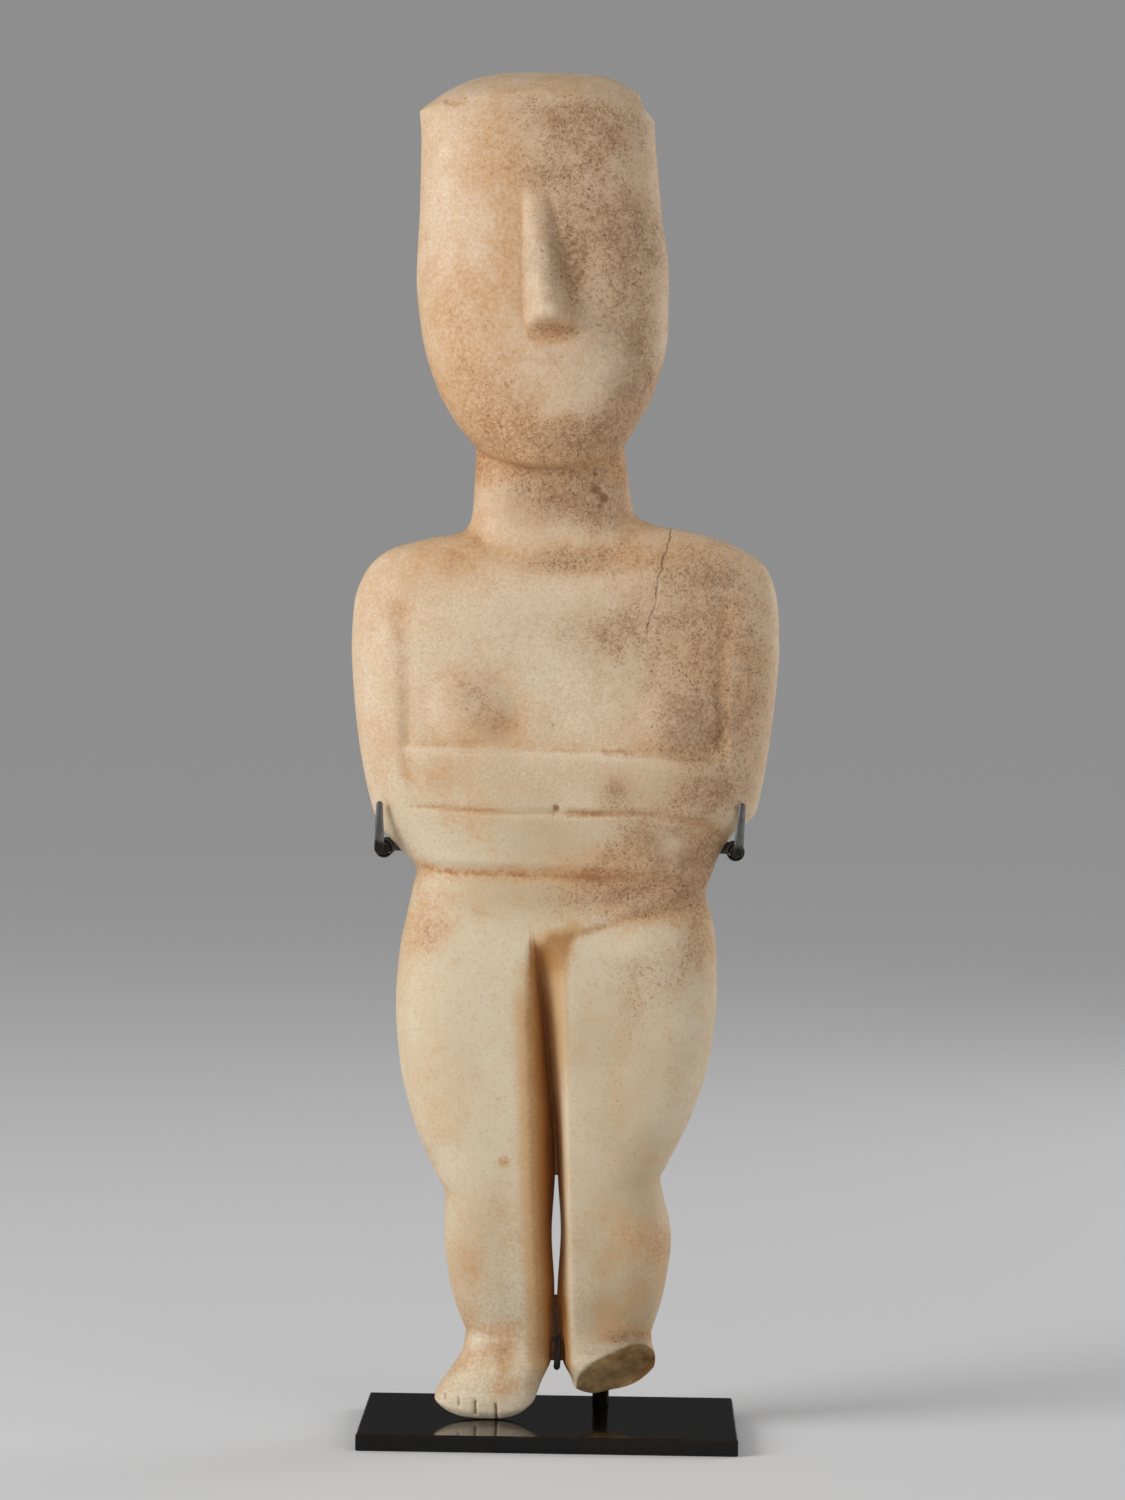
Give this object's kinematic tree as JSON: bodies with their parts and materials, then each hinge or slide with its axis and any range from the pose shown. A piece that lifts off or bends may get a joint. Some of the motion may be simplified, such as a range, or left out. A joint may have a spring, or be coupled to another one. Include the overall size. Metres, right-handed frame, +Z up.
{
  "type": "cycladic figurine",
  "caption": "Cycladic-style marble figure of a standing woman with folded arms and one broken foot, held upright on a low black plate by a thin steel post with padded hooks.",
  "frame": {"origin": "centre of the plate's underside", "axes": "+Z up, +X to the right as the figure's front is seen, -Y the way the figure faces"},
  "size_m": [0.1283, 0.075, 0.4112],
  "materials": {
    "marble": "weathered cream marble with a tan patina, brown in the grooves",
    "black_gloss": "polished black",
    "dark_steel": "dark satin",
    "black_tube": "matt"
  },
  "bodies": {
    "root": {"figurine": "marble", "base_plate": "black_gloss", "support": "dark_steel", "sleeve_left": "black_tube", "sleeve_right": "black_tube"}
  },
  "joints": []
}
